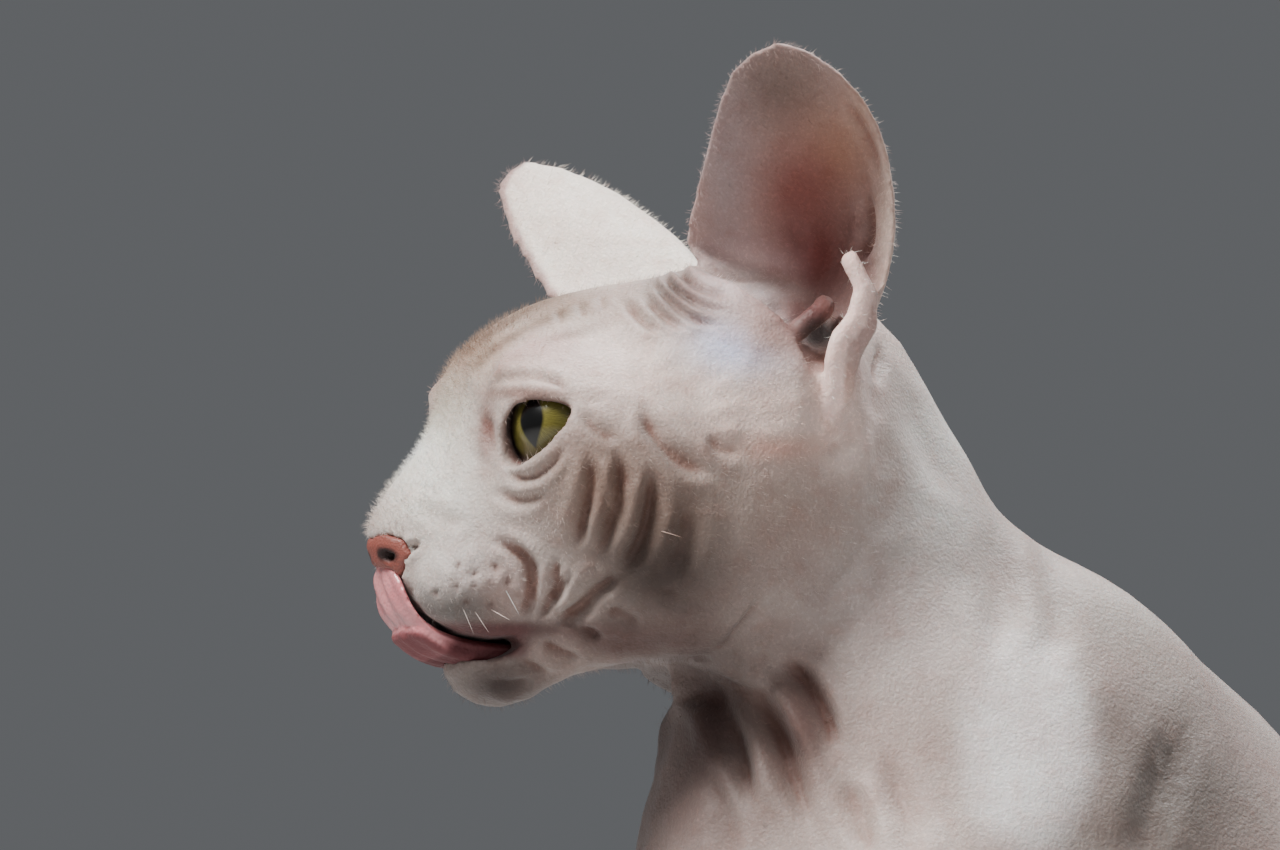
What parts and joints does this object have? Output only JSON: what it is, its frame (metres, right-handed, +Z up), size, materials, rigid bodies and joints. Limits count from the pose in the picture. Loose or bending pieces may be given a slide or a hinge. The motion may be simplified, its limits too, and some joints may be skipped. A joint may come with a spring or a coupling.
{
  "type": "sphynx cat",
  "caption": "Hairless cat sitting upright with its head turned to a profile line, large upright ears and the tongue curled up to the nose; a still display model.",
  "frame": {"origin": "middle of the footprint box on the floor the cat sits on", "axes": "-Y the way the cat faces, +X its left side, +Z up"},
  "size_m": [0.1686, 0.2824, 0.3388],
  "materials": {
    "skin": "pinkish beige bare skin with a fine down",
    "ear_skin": "thin pink skin",
    "nose_leather": "bare brownish pink nose leather",
    "tongue": "moist pink",
    "eye": "glossy yellow-green"
  },
  "bodies": {
    "root": {"head": "skin", "lower_jaw": "skin", "neck": "skin", "torso": "skin", "foreleg_left": "skin", "foreleg_right": "skin", "hindleg_left": "skin", "hindleg_right": "skin", "tail_1": "skin", "tail_2": "skin", "tail_3": "skin", "ear_left": "ear_skin", "ear_right": "ear_skin", "nose": "nose_leather", "tongue": "tongue", "eye_left": "eye", "eye_right": "eye"}
  },
  "joints": []
}
